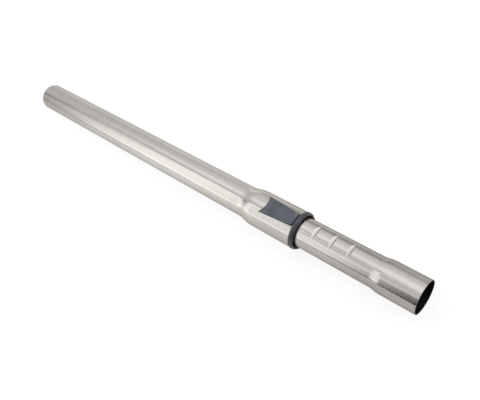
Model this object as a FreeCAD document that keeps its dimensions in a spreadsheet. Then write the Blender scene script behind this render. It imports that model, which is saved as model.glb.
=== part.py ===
import FreeCAD, Part
import os
from math import atan2, degrees, radians

import Sketcher

# Telescopic suction wand: a plain outer tube with a belled end, an inner tube that slides in it,
# and a thumb button that lifts a leaf-spring catch out of the notches pressed into the inner tube.
# The axis is X, from the plain end at the origin; the button is on top, in +Z. Millimetres.

SIZES = {
    # outer tube
    "tube_od": 35.0,
    "tube_wall": 0.6,
    "plain_length": 375.0,
    "bell_step": 2.9,
    "bell_blend": 20.0,
    "bell_length": 53.0,
    # inner tube: its outside follows the outer tube's bore less the gap between the two
    "tube_gap": 0.6,
    "inner_wall": 0.6,
    "inner_length": 492.0,
    "drawn_out": 139.0,
    "mouth_step": 1.4,
    "mouth_blend": 11.0,
    "mouth_length": 38.0,
    # row of pressed notches, some of them ahead of the one that the catch sits in, and as many
    # behind it as the tube has room for in front of its hidden end
    "notch_pitch": 20.0,
    "notches_ahead": 4.0,
    "row_setback": 50.0,
    "notch_top": 5.2,
    "notch_floor": 1.0,
    "notch_depth": 1.9,
    # key of the sleeve and the groove that it runs in
    "groove_radius": 2.4,
    "groove_depth": 1.5,
    "key_gap": 0.3,
    "key_length": 12.0,
    "key_setback": 2.0,
    # guide sleeve in the bell
    "sleeve_length": 49.0,
    "sleeve_inset": 1.0,
    "seat_gap": 0.2,
    "slide_gap": 0.1,
    "sleeve_lead": 1.0,
    # end collar and its seal
    "collar_length": 5.0,
    "collar_step": 0.4,
    "collar_edge": 0.6,
    "collar_face": 2.2,
    "collar_slope": 1.7,
    "collar_wall": 1.3,
    "collar_lip": 1.4,
    "collar_lip_depth": 0.4,
    "skirt_length": 3.6,
    "seal_length": 4.2,
    "seal_cone": 1.4,
    "seal_gap": 0.1,
    "run_gap": 0.3,
    # thumb button and its window
    "button_length": 39.0,
    "button_travel": 2.6,
    "button_back_width": 20.0,
    "button_front_width": 14.6,
    "button_dish": 4.2,
    "button_skin": 0.8,
    "corner_round": 2.0,
    "button_lip": 1.4,
    "lip_length": 9.0,
    "lip_top": 0.6,
    "lip_face": 0.6,
    "lip_overhang": 2.4,
    "window_gap": 0.5,
    "end_gap": 0.4,
    "rib_count": 4.0,
    "rib_pitch": 2.4,
    "rib_setback": 10.0,
    "rib_width": 0.9,
    "rib_depth": 0.35,
    # catch under the button
    "catch_setback": 17.0,
    "catch_engaged": 1.3,
    "nose_radius": 2.2,
    "leaf_thickness": 0.4,
    "leaf_width": 7.0,
    "leaf_reach": 29.0,
    "anchor_length": 10.0,
    "anchor_rise": 1.0,
    "joggle_length": 5.0,
    "ear_width": 10.0,
    "ear_start": 5.5,
    "ear_length": 3.0,
    # cheeks of the button that lift the ears
    "cheek_gap": 0.2,
    "cheek_thickness": 1.5,
    "cheek_length": 5.6,
    "wedge_run": 2.2,
    "wedge_rise": 2.5,
    "foot_width": 1.6,
    "foot_height": 0.7,
    "slot_front": 10.0,
    # bush in the hidden end of the inner tube
    "bush_length": 12.0,
    "bush_flange": 3.0,
    "bush_wall": 1.4,
    "bush_gap": 0.1,
}

doc = FreeCAD.newDocument("telescopic_wand")
sheet = doc.addObject("Spreadsheet::Sheet", "Sizes")
for row, (alias, number) in enumerate(SIZES.items(), start=1):
    sheet.set(f"A{row}", alias)
    sheet.set(f"B{row}", str(number))
    sheet.setAlias(f"B{row}", alias)
doc.recompute()


def size(text):
    """Write the sheet's name before every alias of an expression."""
    words = text.replace("(", " ( ").replace(")", " ) ").split()
    return "(" + " ".join(f"Sizes.{word}" if word in SIZES else word for word in words) + ")"


def value(expression):
    """Give the number that an expression has now."""
    return float(sheet.evalExpression(expression))


def root(radius, offset):
    """Give the height of a circle's edge at an offset from its centre line, as an expression."""
    return f"sqrt({radius} * {radius} - {offset} * {offset})"


# Stations along the axis
rim = size("plain_length + bell_blend + bell_length")
nose = f"({rim} - {size('catch_setback')})"
mouth = f"({rim} + {size('drawn_out')})"
inner_back = f"({mouth} - {size('inner_length')})"
notches_behind = f"floor(({nose} - {inner_back} - {size('row_setback')}) / {size('notch_pitch')})"
notch_count = f"({notches_behind} + 1 + {size('notches_ahead')})"
first_notch = f"({nose} - {size('notch_pitch')} * {notches_behind})"
sleeve_front = f"({rim} - {size('sleeve_inset')})"
sleeve_back = f"({sleeve_front} - {size('sleeve_length')})"
sleeve_step = f"({rim} - {size('skirt_length + seat_gap')})"
key_back = f"({sleeve_back} + {size('key_setback')})"
key_front = f"({key_back} + {size('key_length')})"
button_front = f"({rim} - {size('button_travel + end_gap')})"
button_back = f"({button_front} - {size('button_length')})"
lip_front = f"({button_front} + {size('lip_overhang')})"

# Radii from the axis
tube_r = size("tube_od / 2")
bore_r = size("tube_od / 2 - tube_wall")
bell_r = size("tube_od / 2 + bell_step")
bell_bore = size("tube_od / 2 + bell_step - tube_wall")
inner_r = size("tube_od / 2 - tube_wall - tube_gap")
inner_bore = size("tube_od / 2 - tube_wall - tube_gap - inner_wall")
sleeve_r = size("tube_od / 2 + bell_step - tube_wall - seat_gap")
sleeve_bore = size("tube_od / 2 - tube_wall - tube_gap + slide_gap")
collar_bore = f"({sleeve_r} - {size('collar_wall')})"
nose_r = f"({collar_bore} - {size('seal_gap')})"
collar_r = size("tube_od / 2 + bell_step + collar_step")
button_under = f"({sleeve_r} + {size('run_gap')})"
button_top = f"({button_under} + {size('button_skin')})"


def new_body(name):
    """Start one sub-part, whose label names its file."""
    body = doc.addObject("PartDesign::Body", name)
    body.Label = name
    return body


def new_sketch(body, name, plane, offset=None):
    """Put a sketch on one of the body's own planes, moved along its normal by an expression."""
    sketch = body.newObject("Sketcher::SketchObject", name)
    support = [item for item in body.Origin.OriginFeatures if item.Role == plane]
    sketch.AttachmentSupport = (support[0], [""])
    sketch.MapMode = "FlatFace"
    if offset:
        sketch.setExpression("AttachmentOffset.Base.z", offset)
    return sketch


def bind(sketch, kind, ends, expression):
    """Add one dimension whose size is an expression of either sign."""
    number = value(expression)
    if number < 0:
        ends = ends[2:] + ends[:2]
        expression = f"-({expression})"
    index = sketch.addConstraint(Sketcher.Constraint(kind, *ends, abs(number)))
    sketch.setExpression(f"Constraints[{index}]", expression)


def pin(sketch, geometry, end, x, y):
    """Hold one end of a line or arc at a pair of expressions."""
    for kind, axis, expression in (("DistanceX", -2, x), ("DistanceY", -1, y)):
        if expression == "0":
            sketch.addConstraint(Sketcher.Constraint("PointOnObject", geometry, end, axis))
        else:
            bind(sketch, kind, (-1, 1, geometry, end), expression)


def arc_between(start, finish, center):
    """Give the shorter arc round a centre, and whether it is drawn from finish to start."""
    angles = [atan2(p.y - center.y, p.x - center.x) for p in (start, finish)]
    turn = (degrees(angles[1] - angles[0]) + 180) % 360 - 180
    circle = Part.Circle(center, FreeCAD.Vector(0, 0, 1), start.distanceToPoint(center))
    backwards = turn < 0
    first = angles[1] if backwards else angles[0]
    return Part.ArcOfCircle(circle, first, first + radians(abs(turn))), backwards


def outline(sketch, path):
    """Draw a closed outline of steps that each end at a pair of expressions.

    ("line", x, y) runs straight, ("arc", x, y) leaves along the step before it, and
    ("bow", x, y, radius, side) has a radius and bulges to the right of the way (1) or to the left (-1).
    """
    points = [FreeCAD.Vector(value(step[1]), value(step[2]), 0) for step in path]
    up = FreeCAD.Vector(0, 0, 1)
    joints = []
    heading = None
    for here in [*range(1, len(path)), 0]:
        step, start, finish = path[here], points[here - 1], points[here]
        chord = finish - start
        backwards = False
        if step[0] == "line":
            geometry = sketch.addGeometry(Part.LineSegment(start, finish))
            heading = chord / chord.Length
        else:
            if step[0] == "arc":
                normal = up.cross(heading)
                center = start + normal * (chord.Length**2 / (2 * chord.dot(normal)))
            else:
                across = up.cross(chord / chord.Length)
                depth = value(f"sqrt({step[3]}^2 - {chord.Length / 2}^2)")
                center = start + chord / 2 + across * (depth * step[4])
            arc, backwards = arc_between(start, finish, center)
            geometry = sketch.addGeometry(arc)
            heading = up.cross(finish - center) / finish.distanceToPoint(center) * (-1 if backwards else 1)
        joints.append((geometry, 2 if backwards else 1, 1 if backwards else 2, step))
    for (before, _, end, _), (after, start, _, step) in zip([joints[-1], *joints], joints):
        kind = "Tangent" if step[0] == "arc" else "Coincident"
        sketch.addConstraint(Sketcher.Constraint(kind, before, end, after, start))
    for geometry, _, end, step in joints:
        pin(sketch, geometry, end, step[1], step[2])
        if step[0] == "bow":
            index = sketch.addConstraint(Sketcher.Constraint("Radius", geometry, value(step[3])))
            sketch.setExpression(f"Constraints[{index}]", step[3])


def box_outline(sketch, low_x, low_y, high_x, high_y):
    """Draw a rectangle between two corners."""
    corners = [(low_x, low_y), (high_x, low_y), (high_x, high_y), (low_x, high_y)]
    outline(sketch, [("line", x, y) for x, y in corners])


def round_outline(sketch, x, y, radius):
    """Draw a circle."""
    center = FreeCAD.Vector(value(x), value(y), 0)
    geometry = sketch.addGeometry(Part.Circle(center, FreeCAD.Vector(0, 0, 1), value(radius)))
    pin(sketch, geometry, 3, x, y)
    index = sketch.addConstraint(Sketcher.Constraint("Radius", geometry, value(radius)))
    sketch.setExpression(f"Constraints[{index}]", radius)


def blend_steps(x, radius, length, step):
    """Give the two arcs of an S from a radius at x to the radius a step further out."""
    return [
        ("arc", f"({x} + {length} / 2)", f"({radius} + {step} / 2)"),
        ("arc", f"({x} + {length})", f"({radius} + {step})"),
    ]


def turned(body, kind, name, sketch, sweep=None):
    """Revolve a sketch about the axis, all the way round or by an angle on both sides of its plane."""
    feature = body.newObject(f"PartDesign::{kind}", name)
    feature.Profile = sketch
    feature.ReferenceAxis = (sketch, ["H_Axis"])
    feature.Angle = sweep or 360
    feature.Midplane = bool(sweep)
    return feature


def both_sides(body, kind, name, sketch, width):
    """Pad or pocket a sketch on both sides of its plane to a whole width."""
    feature = body.newObject(f"PartDesign::{kind}", name)
    feature.Profile = sketch
    feature.SideType = "Symmetric"
    feature.setExpression("Length", width)
    return feature


def along_axis(body, kind, name, sketch, length):
    """Pad or pocket a sketch forwards along its normal."""
    feature = body.newObject(f"PartDesign::{kind}", name)
    feature.Profile = sketch
    feature.Reversed = kind == "Pocket"
    feature.setExpression("Length", length)
    return feature


def upwards(body, name, sketch):
    """Cut everything above a sketch on the horizontal plane."""
    feature = body.newObject("PartDesign::Pocket", name)
    feature.Profile = sketch
    feature.Reversed = True
    feature.Type = "ThroughAll"
    return feature


def row_of(body, name, feature, sketch, pitch, count):
    """Repeat a feature along the axis."""
    doc.recompute()
    pattern = body.newObject("PartDesign::LinearPattern", name)
    pattern.Originals = [feature]
    pattern.Direction = (sketch, ["H_Axis"])
    pattern.setExpression("Length", f"{pitch} * ({count} - 1)")
    pattern.setExpression("Occurrences", count)
    body.Tip = pattern
    return pattern


def bow_radius(half, dish):
    """Give the radius of an arc from half of its width and its depth, as an expression."""
    return f"(({half} * {half} + {dish} * {dish}) / (2 * {dish}))"


def plan(sketch, back, front, front_half, back_half, dish, bend=None):
    """Draw the plan of the button: hollowed at its wide back, narrow in front.

    The corners in front are round where a bend is given.
    """
    start = ("bow", back, f"-{back_half}", bow_radius(back_half, dish), -1)
    front_steps = [("line", front, f"-{front_half}"), ("line", front, front_half)]
    if bend:
        side = f"sqrt(({front} - {back})^2 + ({back_half} - {front_half})^2)"
        side_x = f"({front} - {bend} * ({front} - {back}) / {side})"
        side_y = f"({front_half} + {bend} * ({back_half} - {front_half}) / {side})"
        front_y = f"({front_half} - {bend})"
        front_steps = [
            ("line", side_x, f"-{side_y}"),
            ("arc", front, f"-{front_y}"),
            ("line", front, front_y),
            ("arc", side_x, side_y),
        ]
    outline(sketch, [start, *front_steps, ("line", back, back_half)])


def notch_outline(sketch, wall):
    """Draw a notch between two flanks, a wall outside its faces and from its floor to clear of the tube."""
    depth, run = size("notch_depth"), size("( notch_top - notch_floor ) / 2")
    flank = f"sqrt({run}^2 + {depth}^2)"
    low_half = f"({size('notch_floor / 2')} + {wall} * ({flank} - {run}) / {depth})"
    high_half = f"({size('notch_top / 2')} + {run} + {wall} * {flank} / {depth})"
    low, high = f"({inner_r} - {depth} - {wall})", f"({inner_r} + {depth})"
    outline(
        sketch,
        [
            ("line", f"({first_notch} - {high_half})", high),
            ("line", f"({first_notch} - {low_half})", low),
            ("line", f"({first_notch} + {low_half})", low),
            ("line", f"({first_notch} + {high_half})", high),
        ],
    )


# Outer tube: one drawn wall, expanded to the bell, with the button's window open to the rim
def outer_tube():
    body = new_body("outer_tube")
    wall = new_sketch(body, "outer_wall", "XZ_Plane")
    blend, step = size("bell_blend"), size("bell_step")
    plain = size("plain_length")
    outline(
        wall,
        [
            ("line", "0", bore_r),
            ("line", "0", tube_r),
            ("line", plain, tube_r),
            *blend_steps(plain, tube_r, blend, step),
            ("line", rim, bell_r),
            ("line", rim, bell_bore),
            ("line", f"({plain} + {blend})", bell_bore),
            ("arc", f"({plain} + {blend} / 2)", f"({bore_r} + {step} / 2)"),
            ("arc", plain, bore_r),
        ],
    )
    turned(body, "Revolution", "outer_shell", wall)
    window = new_sketch(body, "window_plan", "XY_Plane")
    half_front = size("button_front_width / 2 + window_gap")
    half_back = size("button_back_width / 2 + window_gap")
    edge_r = f"({bow_radius(size('button_back_width / 2'), size('button_dish'))} - {size('end_gap')})"
    dish = f"({edge_r} - {root(edge_r, half_back)})"
    back = f"({button_back} + {size('button_dish - end_gap')} - {dish})"
    plan(window, back, rim, half_front, half_back, dish)
    upwards(body, "window", window)
    return body


# Inner tube: one drawn wall with a flared mouth, pressed notches on top and a key groove below
def inner_tube():
    body = new_body("inner_tube")
    wall = new_sketch(body, "inner_wall_outline", "XZ_Plane")
    blend, step = size("mouth_blend"), size("mouth_step")
    neck = f"({mouth} - {size('mouth_length + mouth_blend')})"
    outline(
        wall,
        [
            ("line", inner_back, inner_bore),
            ("line", inner_back, inner_r),
            ("line", neck, inner_r),
            *blend_steps(neck, inner_r, blend, step),
            ("line", mouth, f"({inner_r} + {step})"),
            ("line", mouth, f"({inner_bore} + {step})"),
            ("line", f"({neck} + {blend})", f"({inner_bore} + {step})"),
            ("arc", f"({neck} + {blend} / 2)", f"({inner_bore} + {step} / 2)"),
            ("arc", neck, inner_bore),
        ],
    )
    turned(body, "Revolution", "inner_shell", wall)

    pitch = size("notch_pitch")
    cup = new_sketch(body, "notch_cup_outline", "XZ_Plane")
    notch_outline(cup, size("inner_wall"))
    cup_pad = both_sides(body, "Pad", "notch_cup", cup, f"(2 * {inner_r})")
    row_of(body, "notch_cups", cup_pad, cup, pitch, notch_count)

    groove_z = f"-({inner_r} + {size('groove_radius - groove_depth')})"
    groove_back = f"({key_back} - {size('key_gap')} - ({nose} - {first_notch}))"
    groove_length = f"({key_front} + {size('key_gap + notch_pitch * notches_ahead')} - {groove_back})"
    ridge = new_sketch(body, "groove_ridge_outline", "YZ_Plane", f"({groove_back} - {size('inner_wall')})")
    round_outline(ridge, "0", groove_z, size("groove_radius + inner_wall"))
    along_axis(body, "Pad", "groove_ridge", ridge, f"({groove_length} + {size('2 * inner_wall')})")

    trim = new_sketch(body, "trim_outline", "XZ_Plane")
    box_outline(trim, inner_back, inner_r, neck, f"(2 * {inner_r})")
    turned(body, "Groove", "trim_outside", trim)

    dent = new_sketch(body, "notch_outline", "XZ_Plane")
    notch_outline(dent, "0")
    dent_cut = both_sides(body, "Pocket", "notch", dent, f"(2 * {inner_r})")
    row_of(body, "notches", dent_cut, dent, pitch, notch_count)

    groove = new_sketch(body, "groove_outline", "YZ_Plane", groove_back)
    round_outline(groove, "0", groove_z, size("groove_radius"))
    along_axis(body, "Pocket", "key_groove", groove, groove_length)
    return body


# Guide sleeve: a bush in the bell with a key, a well for the button's cheeks and a slit for the leaf
def guide_sleeve():
    body = new_body("guide_sleeve")
    wall = new_sketch(body, "sleeve_wall", "XZ_Plane")
    lead = size("sleeve_lead")
    outline(
        wall,
        [
            ("line", sleeve_back, f"({sleeve_bore} + {lead})"),
            ("line", sleeve_back, f"({sleeve_r} - {lead})"),
            ("line", f"({sleeve_back} + {lead})", sleeve_r),
            ("line", sleeve_step, sleeve_r),
            ("line", sleeve_step, nose_r),
            ("line", sleeve_front, nose_r),
            ("line", sleeve_front, sleeve_bore),
            ("line", f"({sleeve_back} + {lead})", sleeve_bore),
        ],
    )
    turned(body, "Revolution", "sleeve_shell", wall)

    key = new_sketch(body, "key_outline", "YZ_Plane", key_back)
    key_z = f"-({inner_r} + {size('groove_radius - groove_depth')})"
    round_outline(key, "0", key_z, size("groove_radius - key_gap"))
    along_axis(body, "Pad", "key", key, size("key_length"))

    well = new_sketch(body, "well_plan", "XY_Plane")
    half = f"({cheek_outer} + {size('run_gap')})"
    box_outline(well, anchor_front, f"-{half}", well_front, half)
    upwards(body, "well", well)

    ledge = new_sketch(body, "ledge_outline", "XZ_Plane")
    top = f"({cheek_bottom} + {size('foot_height + run_gap')})"
    box_outline(ledge, f"({cheek_back} - {size('run_gap')})", "0", well_front, top)
    both_sides(body, "Pocket", "ledge", ledge, f"(2 * ({cheek_outer} + {size('foot_width + run_gap')}))")

    slit = new_sketch(body, "slit_outline", "XZ_Plane")
    room = size("slide_gap / 2")
    box_outline(
        slit,
        f"({leaf_back} - {room})",
        f"({anchor_bottom} - {room})",
        f"({anchor_front} + {room})",
        f"({anchor_bottom} + {size('leaf_thickness')} + {room})",
    )
    both_sides(body, "Pocket", "slit", slit, size("leaf_width + slide_gap"))
    return body


# Heights and stations of the catch and of the button's cheeks
leaf_bottom = f"({inner_r} + {size('run_gap')})"
leaf_top = f"({leaf_bottom} + {size('leaf_thickness')})"
leaf_front = f"({nose} + {size('ear_start + ear_length')})"
leaf_back = f"({nose} - {size('leaf_reach')})"
anchor_front = f"({leaf_back} + {size('anchor_length')})"
anchor_bottom = f"({leaf_bottom} + {size('anchor_rise')})"
nose_z = f"({inner_r} - {size('catch_engaged')} + {size('nose_radius')})"
cheek_inner = size("leaf_width / 2 + cheek_gap")
cheek_outer = size("leaf_width / 2 + cheek_gap + cheek_thickness")
cheek_bottom = f"({root(inner_r, cheek_inner)} + {size('run_gap')})"
cheek_front = f"({nose} + {size('ear_start - cheek_gap')})"
cheek_back = f"({cheek_front} - {size('cheek_length')})"
well_front = f"({nose} + {size('slot_front')})"


# Catch spring: a leaf held at its back end, with a half-round nose and two ears in front
def catch_spring():
    body = new_body("catch_spring")
    leaf = new_sketch(body, "leaf_outline", "XZ_Plane")
    thick = size("leaf_thickness")
    outer_half = root(size("nose_radius"), f"({nose_z} - {leaf_bottom})")
    inner_radius = size("nose_radius - leaf_thickness")
    inner_half = root(inner_radius, f"({nose_z} - {leaf_top})")
    flat_back = f"({anchor_front} + {size('joggle_length')})"
    outline(
        leaf,
        [
            ("line", leaf_back, f"({anchor_bottom} + {thick})"),
            ("line", leaf_back, anchor_bottom),
            ("line", anchor_front, anchor_bottom),
            ("line", flat_back, leaf_bottom),
            ("line", f"({nose} - {outer_half})", leaf_bottom),
            ("bow", f"({nose} + {outer_half})", leaf_bottom, size("nose_radius"), 1),
            ("line", leaf_front, leaf_bottom),
            ("line", leaf_front, leaf_top),
            ("line", f"({nose} + {inner_half})", leaf_top),
            ("bow", f"({nose} - {inner_half})", leaf_top, inner_radius, -1),
            ("line", flat_back, leaf_top),
            ("line", anchor_front, f"({anchor_bottom} + {thick})"),
        ],
    )
    both_sides(body, "Pad", "leaf", leaf, size("leaf_width"))
    ears = new_sketch(body, "ear_outline", "XZ_Plane")
    box_outline(ears, f"({nose} + {size('ear_start')})", leaf_bottom, leaf_front, leaf_top)
    both_sides(body, "Pad", "ears", ears, size("ear_width"))
    return body


# Slide button: a curved pad with grip ribs and a thumb lip that runs out over the collar when it is pushed,
# and two cheeks with wedges and feet below
def slide_button():
    body = new_body("slide_button")
    skin = new_sketch(body, "button_profile", "XZ_Plane")
    lip_under = f"({collar_r} + {size('run_gap')})"
    lip_z = f"({lip_under} + {size('button_lip')})"
    face = size("lip_face")
    lip_start = f"({lip_front} - {size('lip_length')})"
    lip_back = f"({lip_front} - {face} - {size('lip_top')})"
    outline(
        skin,
        [
            ("line", button_back, button_under),
            ("line", button_back, button_top),
            ("line", lip_start, button_top),
            ("arc", lip_back, lip_z),
            ("line", f"({lip_front} - {face})", lip_z),
            ("line", lip_front, lip_under),
            ("line", button_front, lip_under),
            ("line", button_front, button_under),
        ],
    )
    doc.recompute()
    reach = 2 * degrees(atan2(value(size("button_back_width")), value(button_top)))
    turned(body, "Revolution", "button_skin_shell", skin, reach)

    trim = new_sketch(body, "button_plan", "XY_Plane")
    margin = size("button_back_width")
    box_outline(
        trim, f"({button_back} - {margin})", f"-{margin}", f"({lip_front} + {margin})", margin
    )
    half_front, half_back = size("button_front_width / 2"), size("button_back_width / 2")
    dish, bend = size("button_dish"), size("corner_round")
    plan(trim, button_back, lip_front, half_front, half_back, dish, bend)
    upwards(body, "button_trim", trim)

    rib = new_sketch(body, "rib_outline", "XZ_Plane")
    start = f"({button_back} + {size('rib_setback')})"
    depth = f"({button_top} - {size('rib_depth')})"
    above = f"({button_top} + {size('button_lip')})"
    box_outline(rib, start, depth, f"({start} + {size('rib_width')})", above)
    rib_cut = turned(body, "Groove", "grip_groove", rib)
    row_of(body, "grip_grooves", rib_cut, rib, size("rib_pitch"), size("rib_count"))

    cheek = new_sketch(body, "cheek_outline", "XZ_Plane")
    cheek_top = f"({root(button_under, cheek_inner)} + {size('button_skin / 4')})"
    wedge_back = f"({cheek_front} - {size('wedge_run')})"
    outline(
        cheek,
        [
            ("line", cheek_back, cheek_top),
            ("line", cheek_back, cheek_bottom),
            ("line", cheek_front, cheek_bottom),
            ("line", wedge_back, f"({cheek_bottom} + {size('wedge_rise')})"),
            ("line", wedge_back, cheek_top),
        ],
    )
    both_sides(body, "Pad", "cheeks", cheek, f"(2 * {cheek_outer})")

    feet = new_sketch(body, "foot_outline", "XZ_Plane")
    box_outline(feet, cheek_back, cheek_bottom, wedge_back, f"({cheek_bottom} + {size('foot_height')})")
    both_sides(body, "Pad", "feet", feet, f"(2 * ({cheek_outer} + {size('foot_width')}))")

    between = new_sketch(body, "between_outline", "XZ_Plane")
    box_outline(between, cheek_back, "0", cheek_front, cheek_top)
    both_sides(body, "Pocket", "between_cheeks", between, f"(2 * {cheek_inner})")
    return body


# End collar: a ring on the bell's rim with a sloping face, a skirt inside it and a lip in front of the seal
def end_collar():
    body = new_body("end_collar")
    ring = new_sketch(body, "collar_outline", "XZ_Plane")
    front = f"({rim} + {size('collar_length')})"
    face_back, edge = f"({front} - {size('collar_face')})", size("collar_edge")
    lip_r = f"({collar_bore} - {size('collar_lip_depth')})"
    lip_back = f"({front} - {size('collar_lip')})"
    skirt_back = f"({rim} - {size('skirt_length')})"
    outline(
        ring,
        [
            ("line", skirt_back, collar_bore),
            ("line", skirt_back, sleeve_r),
            ("line", rim, sleeve_r),
            ("line", rim, collar_r),
            ("line", f"({face_back} - {edge})", collar_r),
            ("line", face_back, f"({collar_r} - {edge} / 4)"),
            ("line", front, f"({collar_r} - {size('collar_slope')})"),
            ("line", lip_back, lip_r),
            ("line", lip_back, collar_bore),
        ],
    )
    turned(body, "Revolution", "collar", ring)
    return body


# Seal ring: a soft ring behind the collar's lip, coned in front where the tube runs in
def seal_ring():
    body = new_body("seal_ring")
    ring = new_sketch(body, "seal_outline", "XZ_Plane")
    back = f"({sleeve_front} + {size('seal_gap')})"
    front = f"({back} + {size('seal_length')})"
    seal_bore = f"({inner_r} + {size('run_gap')})"
    outline(
        ring,
        [
            ("line", back, seal_bore),
            ("line", back, nose_r),
            ("line", front, nose_r),
            ("line", f"({front} - {size('seal_cone')})", seal_bore),
        ],
    )
    turned(body, "Revolution", "seal", ring)
    return body


# Rear guide: a bush pushed into the hidden end of the inner tube, with a flange that runs in the outer tube
def rear_guide():
    body = new_body("rear_guide")
    ring = new_sketch(body, "bush_outline", "XZ_Plane")
    spigot = f"({inner_bore} - {size('bush_gap')})"
    hole = f"({spigot} - {size('bush_wall')})"
    back = f"({inner_back} - {size('bush_flange')})"
    outline(
        ring,
        [
            ("line", back, hole),
            ("line", back, f"({bore_r} - {size('run_gap')})"),
            ("line", inner_back, f"({bore_r} - {size('run_gap')})"),
            ("line", inner_back, spigot),
            ("line", f"({inner_back} + {size('bush_length')})", spigot),
            ("line", f"({inner_back} + {size('bush_length')})", hole),
        ],
    )
    turned(body, "Revolution", "bush", ring)
    return body


bodies = [
    make()
    for make in (
        outer_tube,
        inner_tube,
        guide_sleeve,
        end_collar,
        seal_ring,
        slide_button,
        catch_spring,
        rear_guide,
    )
]
doc.recompute()

for item in doc.Objects:
    if "Invalid" in item.State or "Error" in item.State:
        raise RuntimeError(f"{item.Name} did not build: {item.State}")
for body in bodies:
    if body.Shape.isNull() or not body.Shape.isValid() or len(body.Shape.Solids) != 1:
        raise RuntimeError(f"{body.Label} is not one sound solid")
    for feature in body.Group:
        base = getattr(feature, "BaseFeature", None)
        if base and abs(feature.Shape.Volume - base.Shape.Volume) < 1e-6 * base.Shape.Volume:
            raise RuntimeError(f"{feature.Name} changes nothing")

os.makedirs("parts", exist_ok=True)
for body in bodies:
    body.Shape.exportStep(f"parts/{body.Label}.step")
    print(body.Label, round(body.Shape.Volume, 1), body.Shape.BoundBox)
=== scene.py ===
from math import pi, radians

import bpy
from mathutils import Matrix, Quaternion, Vector


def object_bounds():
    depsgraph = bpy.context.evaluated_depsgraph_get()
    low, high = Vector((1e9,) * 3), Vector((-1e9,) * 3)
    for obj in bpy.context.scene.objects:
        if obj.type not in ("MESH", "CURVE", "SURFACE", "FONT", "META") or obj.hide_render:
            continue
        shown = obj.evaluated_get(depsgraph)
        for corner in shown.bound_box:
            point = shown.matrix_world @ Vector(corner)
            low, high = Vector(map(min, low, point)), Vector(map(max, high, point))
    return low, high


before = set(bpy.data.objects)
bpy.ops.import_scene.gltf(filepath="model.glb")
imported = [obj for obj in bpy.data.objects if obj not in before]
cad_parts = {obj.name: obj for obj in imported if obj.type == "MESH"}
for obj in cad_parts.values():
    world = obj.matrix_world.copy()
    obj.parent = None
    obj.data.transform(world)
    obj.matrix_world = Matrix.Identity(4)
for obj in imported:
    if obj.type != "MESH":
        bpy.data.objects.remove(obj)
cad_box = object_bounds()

# A telescopic suction wand of brushed steel, lying on a white table between soft boxes.
# Metres, in the frame of the solids: X along the tubes, Z up through the thumb button.

# Camera
CAMERA_PLACE = (0.6976, -0.1849, 0.4866)
CAMERA_AIM = (0.3670, -0.0024, 0.0)
CAMERA_ROLL = radians(26.5)
LENS_MM = 42.0
SENSOR_MM = 36.0

WHITE = (1.0, 1.0, 1.0, 1.0)
BLACK = (0.0, 0.0, 0.0, 1.0)

# Table: a glow makes it white, and its grey paint takes the shadow
FLOOR_SIZE = 40.0
FLOOR_GLOW = 0.80
FLOOR_COLOR = (0.30, 0.30, 0.30, 1.0)
FLOOR_ROUGHNESS = 0.9

# Room: brightness by height, the loss at two places towards the right, and the heights where it sets in
SKY_RAMP = [(0.00, 1.00), (0.17, 1.00), (0.25, 0.66), (0.50, 0.66), (1.00, 0.75)]
SKY_RIGHT = ((-0.2, 0.00), (0.8, 0.45))
SKY_HORIZON = (0.17, 0.25)

# Soft boxes: place, point that the box faces, width and height, radiance, tint
FRONT_TINT = (1.0, 0.985, 0.95)
TOP_TINT = (1.0, 0.985, 0.96)
LAMPS = {
    "front_left_box": ((-0.90, -0.77, 0.87), (-0.90, -0.04, 0.66), (0.24, 1.71), 0.82, FRONT_TINT),
    "front_box": ((-0.555, -0.77, 0.87), (-0.555, -0.04, 0.66), (0.45, 1.71), 0.78, FRONT_TINT),
    "front_right_box": ((-0.185, -0.87, 0.50), (-0.185, -0.14, 0.29), (0.29, 0.94), 0.33, FRONT_TINT),
    "front_end_box": ((0.07, -0.86, 0.55), (0.07, -0.13, 0.34), (0.22, 0.83), 0.70, FRONT_TINT),
    "top_box": ((-0.45, 0.22, 1.25), (-0.45, -0.16, 0.05), (1.10, 0.61), 0.24, TOP_TINT),
    "top_end_box": ((0.45, 0.19, 1.26), (0.45, -0.19, 0.06), (0.70, 1.06), 0.25, TOP_TINT),
    "top_back_box": ((-0.10, 0.58, 1.14), (-0.10, 0.20, -0.06), (1.80, 1.37), 0.16, TOP_TINT),
    "right_box": ((2.15, 0.70, 1.02), (0.49, 0.0, 0.02), (1.30, 1.10), 0.97, TOP_TINT),
}

# Glowing cards that only mirrors see, which paint light and shade into the steel's reflections: two opposite
# corners with heights from the table's top, brightness at both ends of a fade along X, where the fade starts
# and ends, and how far it leans along X per metre of height
CARD_TINT = (1.0, 0.975, 0.95, 1.0)
FAR_FADE = ((0.00, 1.05), (-1.22, -0.78), -0.52)
ON_TABLE = 0.0002
CARDS = {
    "far_card": ((-1.70, -1.02, 0.0), (-1.02, -0.535, 1.69), *FAR_FADE),
    "far_upper_card": ((-3.20, -0.805, 0.75), (-1.70, -0.535, 1.69), *FAR_FADE),
    "cone_card": ((-3.20, -1.02, 0.0), (-1.70, -0.805, 0.75), (0.90, 0.00), (-2.00, -1.70), 0.0),
    "line_card": ((-0.20, -1.02, 0.0), (0.18, -1.02, 0.11), (0.75, 0.08), (-0.15, 0.15), 0.0),
    "front_card": ((0.18, -1.02, 0.0), (1.40, -1.02, 0.97), (0.34, 0.0), (0.05, 0.36), 0.13),
    "back_card": ((-0.40, 1.02, 0.0), (0.05, 1.02, 0.52), (0.85, 0.33), (-0.40, 0.05), 0.0),
    "back_end_card": ((0.05, 1.02, 0.0), (1.40, 1.02, 0.52), (0.33, 0.56), (0.14, 0.32), 0.0),
    "table_card": ((0.25, -0.80, ON_TABLE), (1.40, 1.00, ON_TABLE), (0.98, 0.62), (0.27, 0.52), 0.0),
    "far_table_card": ((-1.60, -1.00, ON_TABLE), (0.05, 0.0, ON_TABLE), (0.45, 0.98), (-0.30, 0.02), 0.0),
}

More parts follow.
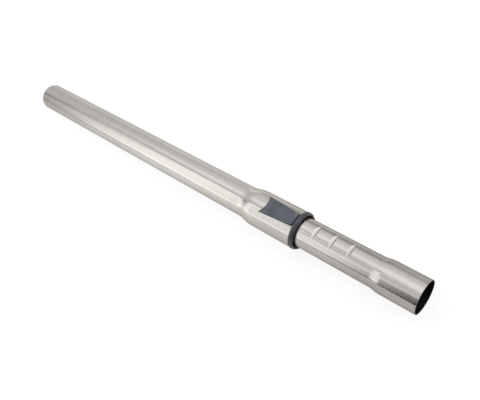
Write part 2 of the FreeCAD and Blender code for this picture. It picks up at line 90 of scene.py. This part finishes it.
# Grains: waves per metre along X, Y and Z, detail and roughness of the noise
FINE_BRUSH = ((2600.0, 30.0, 30.0), 4.0, 0.7)
COARSE_BRUSH = ((620.0, 14.0, 14.0), 3.0, 0.6)
STEEL_CLOUD = ((16.0, 60.0, 60.0), 2.0, 0.5)
ROLLING_LINES = ((60.0, 3000.0, 800.0), 3.0, 0.5)
MOULD_GRAIN = ((2200.0, 2200.0, 2200.0), 2.0, 0.6)
MOULD_MOTTLE = ((130.0, 130.0, 130.0), 3.0, 0.5)
RUBBER_BLOOM = ((500.0, 500.0, 500.0), 4.0, 0.65)

# Part of a noise's range that a finish is spread over
NARROW = (0.35, 0.65)
WIDE = (0.30, 0.70)
BLOOM_RANGE = (0.35, 0.70)

# Steel of the tubes; each finish has two colours that its grain mixes
OUTER_STEEL = ((0.700, 0.672, 0.640, 1.0), (0.655, 0.640, 0.615, 1.0))
INNER_STEEL = ((0.700, 0.665, 0.640, 1.0), (0.650, 0.622, 0.606, 1.0))
STEEL_EDGE = (0.56, 0.54, 0.52, 1.0)
STEEL_ROUGHNESS = (0.17, 0.23)
STEEL_ROUND = 0.0002
FINE_SHARE = 0.5
COARSE_SHARE = 0.5
BRUSH_SHADE = 0.12
BRUSH_BUMP = 0.02
BRUSH_DEPTH = 0.00005
BRUSH_STRETCH = 0.80
BRUSH_TURN = 0.25
# Near-black colour painted on walls that face the axis: painted shade inside the tubes
BORE_PAINTED_SHADE = (0.030, 0.027, 0.027, 1.0)
INSIDE_ROUGHNESS = 0.6

# Spring strip
SPRING_COLORS = ((0.46, 0.46, 0.46, 1.0), (0.54, 0.53, 0.52, 1.0))
SPRING_ROUGHNESS = (0.22, 0.40)

# Plastics: colours, roughness where the grain is smoothest, specular level, depth of the grain
BUTTON_PLASTIC = (((0.078, 0.089, 0.120, 1.0), (0.092, 0.104, 0.136, 1.0)), 0.28, 0.8, 0.00005)
COLLAR_PLASTIC = (((0.038, 0.041, 0.051, 1.0), (0.046, 0.049, 0.060, 1.0)), 0.22, 0.9, 0.00004)
SLEEVE_PLASTIC = (((0.030, 0.031, 0.036, 1.0), (0.038, 0.039, 0.044, 1.0)), 0.46, 0.5, 0.00004)
GRAIN_ROUGHNESS = 0.16
GRAIN_BUMP = 0.35
PLASTIC_ROUND = 0.0003

# Rubber
RUBBER_COLORS = ((0.008, 0.008, 0.009, 1.0), (0.013, 0.013, 0.014, 1.0))
RUBBER_ROUGHNESS = (0.62, 0.85)
BLOOM_BUMP = 0.3
BLOOM_DEPTH = 0.00005


def add(tree, kind, **inputs):
    """Add a shader node; each input is a number, a colour or another node's output."""
    node = tree.nodes.new(kind)
    for name, given in inputs.items():
        put(tree, node.inputs[name.replace("_", " ")], given)
    return node


def put(tree, socket, given):
    """Set a socket, or link it to an output."""
    if isinstance(given, bpy.types.NodeSocket):
        tree.links.new(given, socket)
    else:
        socket.default_value = given


def maths(tree, operation, first, second):
    """Work out one number from two."""
    node = tree.nodes.new("ShaderNodeMath")
    node.operation = operation
    put(tree, node.inputs[0], first)
    put(tree, node.inputs[1], second)
    return node.outputs[0]


def blend(tree, factor, first, second):
    """Mix two colours."""
    node = tree.nodes.new("ShaderNodeMix")
    node.data_type = "RGBA"
    put(tree, node.inputs["Factor"], factor)
    colors = [socket for socket in node.inputs if socket.type == "RGBA"]
    put(tree, colors[0], first)
    put(tree, colors[1], second)
    return [socket for socket in node.outputs if socket.type == "RGBA"][0]


def spread(tree, factor, low, high, start, end):
    """Map a factor from the range between start and end to the one between low and high."""
    node = add(tree, "ShaderNodeMapRange", From_Min=start, From_Max=end, To_Min=low, To_Max=high)
    put(tree, node.inputs["Value"], factor)
    return node.outputs["Result"]


def noise(tree, per_metre, detail, roughness):
    """Noise in the frame's own metres, with a frequency for each axis."""
    place = add(tree, "ShaderNodeTexCoord").outputs["Object"]
    scaled = add(tree, "ShaderNodeMapping", Vector=place, Scale=per_metre).outputs["Vector"]
    made = add(tree, "ShaderNodeTexNoise", Vector=scaled, Scale=1.0, Detail=detail, Roughness=roughness)
    return made.outputs[0]


def new_material(name):
    """Add a material; gives it with its node tree and its shader."""
    material = bpy.data.materials.new(name)
    material.use_nodes = True
    return material, material.node_tree, material.node_tree.nodes["Principled BSDF"]


def rounded(tree, radius):
    """Normals that turn softly round the edges of a piece."""
    return add(tree, "ShaderNodeBevel", Radius=radius).outputs["Normal"]


def inside_of_tube(tree):
    """1 on walls that face the axis, 0 on walls that face away from it."""
    geometry = add(tree, "ShaderNodeNewGeometry")
    place = add(tree, "ShaderNodeTexCoord").outputs["Object"]
    outwards = add(tree, "ShaderNodeMapping", Vector=place, Scale=(0.0, 1.0, 1.0)).outputs["Vector"]
    facing = tree.nodes.new("ShaderNodeVectorMath")
    facing.operation = "DOT_PRODUCT"
    put(tree, facing.inputs[0], geometry.outputs["Normal"])
    put(tree, facing.inputs[1], outwards)
    return maths(tree, "LESS_THAN", facing.outputs["Value"], 0.0)


def brushed_steel(name, colors):
    """Drawn steel, brushed round the tube, with a rougher inside that is painted near black as shade."""
    material, tree, shader = new_material(name)
    fine = maths(tree, "MULTIPLY", noise(tree, *FINE_BRUSH), FINE_SHARE)
    coarse = maths(tree, "MULTIPLY", noise(tree, *COARSE_BRUSH), COARSE_SHARE)
    brush = maths(tree, "ADD", fine, coarse)
    cloud = noise(tree, *STEEL_CLOUD)
    inside = inside_of_tube(tree)

    tint = blend(tree, spread(tree, cloud, 0.0, 1.0, *NARROW), *colors)
    dark = blend(tree, BRUSH_SHADE, tint, BLACK)
    steel = blend(tree, spread(tree, brush, 0.0, 1.0, *NARROW), dark, tint)
    # Painted shade: walls that face the axis take the near-black colour of the shade inside the tube
    put(tree, shader.inputs["Base Color"], blend(tree, inside, steel, BORE_PAINTED_SHADE))

    polish = spread(tree, brush, *STEEL_ROUGHNESS, *NARROW)
    dull = maths(tree, "MULTIPLY", inside, INSIDE_ROUGHNESS)
    put(tree, shader.inputs["Roughness"], maths(tree, "MAXIMUM", polish, dull))
    edges = rounded(tree, STEEL_ROUND)
    bump = add(tree, "ShaderNodeBump", Height=brush, Strength=BRUSH_BUMP, Distance=BRUSH_DEPTH, Normal=edges)
    put(tree, shader.inputs["Normal"], bump.outputs["Normal"])
    tangent = add(tree, "ShaderNodeTangent")
    tangent.direction_type = "RADIAL"
    tangent.axis = "X"
    put(tree, shader.inputs["Tangent"], tangent.outputs["Tangent"])
    shader.inputs["Metallic"].default_value = 1.0
    shader.inputs["Specular Tint"].default_value = STEEL_EDGE
    shader.inputs["Anisotropic"].default_value = BRUSH_STRETCH
    shader.inputs["Anisotropic Rotation"].default_value = BRUSH_TURN
    return material


def rolled_steel(name, colors):
    """Spring strip with fine rolling lines along its length."""
    material, tree, shader = new_material(name)
    lines = noise(tree, *ROLLING_LINES)
    put(tree, shader.inputs["Base Color"], blend(tree, lines, *colors))
    put(tree, shader.inputs["Roughness"], spread(tree, lines, *SPRING_ROUGHNESS, *WIDE))
    shader.inputs["Metallic"].default_value = 1.0
    return material


def moulded_plastic(name, colors, smoothest, shine, grain_depth):
    """Moulded plastic with a fine spark-eroded grain and slight mottling."""
    material, tree, shader = new_material(name)
    grain = noise(tree, *MOULD_GRAIN)
    mottle = noise(tree, *MOULD_MOTTLE)
    put(tree, shader.inputs["Base Color"], blend(tree, spread(tree, mottle, 0.0, 1.0, *WIDE), *colors))
    roughest = smoothest + GRAIN_ROUGHNESS
    put(tree, shader.inputs["Roughness"], spread(tree, grain, smoothest, roughest, *WIDE))
    edges = rounded(tree, PLASTIC_ROUND)
    bump = add(tree, "ShaderNodeBump", Height=grain, Strength=GRAIN_BUMP, Distance=grain_depth, Normal=edges)
    put(tree, shader.inputs["Normal"], bump.outputs["Normal"])
    shader.inputs["Specular IOR Level"].default_value = shine
    return material


def soft_rubber(name, colors):
    """Matt black rubber with a dusty bloom."""
    material, tree, shader = new_material(name)
    bloom = noise(tree, *RUBBER_BLOOM)
    put(tree, shader.inputs["Base Color"], blend(tree, spread(tree, bloom, 0.0, 1.0, *BLOOM_RANGE), *colors))
    put(tree, shader.inputs["Roughness"], spread(tree, bloom, *RUBBER_ROUGHNESS, *WIDE))
    bump = add(tree, "ShaderNodeBump", Height=bloom, Strength=BLOOM_BUMP, Distance=BLOOM_DEPTH)
    put(tree, shader.inputs["Normal"], bump.outputs["Normal"])
    return material


def dress_nodes():
    """Give every solid its finish."""
    sleeve = moulded_plastic("sleeve_finish", *SLEEVE_PLASTIC)
    finishes = {
        "outer_tube": brushed_steel("outer_steel_finish", OUTER_STEEL),
        "inner_tube": brushed_steel("inner_steel_finish", INNER_STEEL),
        "slide_button": moulded_plastic("button_finish", *BUTTON_PLASTIC),
        "end_collar": moulded_plastic("collar_finish", *COLLAR_PLASTIC),
        "guide_sleeve": sleeve,
        "rear_guide": sleeve,
        "seal_ring": soft_rubber("seal_finish", RUBBER_COLORS),
        "catch_spring": rolled_steel("spring_finish", SPRING_COLORS),
    }
    for node, finish in finishes.items():
        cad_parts[node].material_slots[0].material = finish


def new_object(name, data):
    """Add an object to the scene."""
    piece = bpy.data.objects.new(name, data)
    bpy.context.scene.collection.objects.link(piece)
    return piece


def face(piece, place, aim, roll=0.0):
    """Put a lamp or a camera in its place and turn it to a point."""
    look = (Vector(aim) - Vector(place)).to_track_quat("-Z", "Y")
    piece.location = place
    piece.rotation_mode = "QUATERNION"
    piece.rotation_quaternion = look @ Quaternion((0.0, 0.0, 1.0), -roll)


def seen(tree):
    """1 for rays that come from the camera, a mirror or glass."""
    path = add(tree, "ShaderNodeLightPath").outputs
    both = maths(tree, "MAXIMUM", path["Is Camera Ray"], path["Is Glossy Ray"])
    return maths(tree, "MAXIMUM", both, path["Is Transmission Ray"])


def panel(name, low, high, material):
    """A flat stage piece between two opposite corners, with two edges along X."""
    across = Vector((high.x - low.x, 0.0, 0.0))
    corners = [low, low + across, high, high - across]
    mesh = bpy.data.meshes.new(name)
    mesh.from_pydata([tuple(corner) for corner in corners], [], [(0, 1, 2, 3)])
    mesh.materials.append(material)
    piece = new_object(name, mesh)
    return piece


def table():
    """White table that keeps the shadow."""
    material, tree, shader = new_material("table_white")
    shader.inputs["Base Color"].default_value = FLOOR_COLOR
    shader.inputs["Roughness"].default_value = FLOOR_ROUGHNESS
    shader.inputs["Specular IOR Level"].default_value = 0.0
    shader.inputs["Emission Color"].default_value = WHITE
    put(tree, shader.inputs["Emission Strength"], maths(tree, "MULTIPLY", seen(tree), FLOOR_GLOW))
    low, high = cad_box
    middle = (low + high) / 2
    reach = Vector((FLOOR_SIZE, FLOOR_SIZE, 0.0)) / 2
    level = Vector((middle.x, middle.y, low.z))
    panel("table", level - reach, level + reach, material)


def cards():
    """Glowing cards on and round the table, seen only in mirrors, that paint light and shade into the
    steel's reflections.
    """
    level = Vector((0.0, 0.0, cad_box[0].z))
    for name, (low, high, (left, right), (start, end), lean) in CARDS.items():
        material, tree, shader = new_material(f"{name}_painted_reflection")
        place = add(tree, "ShaderNodeTexCoord").outputs["Object"]
        axes = add(tree, "ShaderNodeSeparateXYZ", Vector=place).outputs
        along = maths(tree, "SUBTRACT", axes["X"], maths(tree, "MULTIPLY", axes["Z"], lean))
        shader.inputs["Base Color"].default_value = BLACK
        shader.inputs["Specular IOR Level"].default_value = 0.0
        # Painted reflection: the card glows, lights nothing and casts no shadow, and only glossy rays see it
        shader.inputs["Emission Color"].default_value = CARD_TINT
        put(tree, shader.inputs["Emission Strength"], spread(tree, along, left, right, start, end))
        card = panel(name, Vector(low) + level, Vector(high) + level, material)
        card.visible_camera = False
        card.visible_diffuse = False
        card.visible_shadow = False


def soft_boxes():
    """Rectangular lamps that each face a point, with their width level."""
    for name, (place, aim, (width, height), radiance, tint) in LAMPS.items():
        lamp = bpy.data.lights.new(name, "AREA")
        lamp.shape = "RECTANGLE"
        lamp.size = width
        lamp.size_y = height
        lamp.color = tint
        lamp.energy = radiance * pi * width * height
        face(new_object(name, lamp), place, aim)


def room():
    """Pale room with a white horizon, darker above it and towards the right."""
    world = bpy.data.worlds.new("studio")
    world.use_nodes = True
    bpy.context.scene.world = world
    tree = world.node_tree
    way = add(tree, "ShaderNodeTexCoord").outputs["Generated"]
    axes = add(tree, "ShaderNodeSeparateXYZ", Vector=way).outputs
    ramp = add(tree, "ShaderNodeValToRGB", Fac=axes["Z"])
    stops = ramp.color_ramp.elements
    while len(stops) < len(SKY_RAMP):
        stops.new(1.0)
    for stop, (position, level) in zip(stops, SKY_RAMP):
        stop.position = position
        stop.color = (level, level, level, 1.0)
    (left, least), (right, most) = SKY_RIGHT
    loss = spread(tree, axes["X"], least, most, left, right)
    above = spread(tree, axes["Z"], 0.0, 1.0, *SKY_HORIZON)
    strength = maths(tree, "SUBTRACT", 1.0, maths(tree, "MULTIPLY", loss, above))
    background = tree.nodes["Background"]
    put(tree, background.inputs["Color"], ramp.outputs["Color"])
    put(tree, background.inputs["Strength"], strength)


def camera():
    """Camera in the photograph's place."""
    eye = bpy.data.cameras.new("photo_camera")
    eye.sensor_fit = "HORIZONTAL"
    eye.sensor_width = SENSOR_MM
    eye.lens = LENS_MM
    piece = new_object("photo_camera", eye)
    face(piece, CAMERA_PLACE, CAMERA_AIM, CAMERA_ROLL)
    bpy.context.scene.camera = piece


dress_nodes()
table()
cards()
soft_boxes()
room()
camera()
bpy.context.scene.view_settings.view_transform = "Standard"
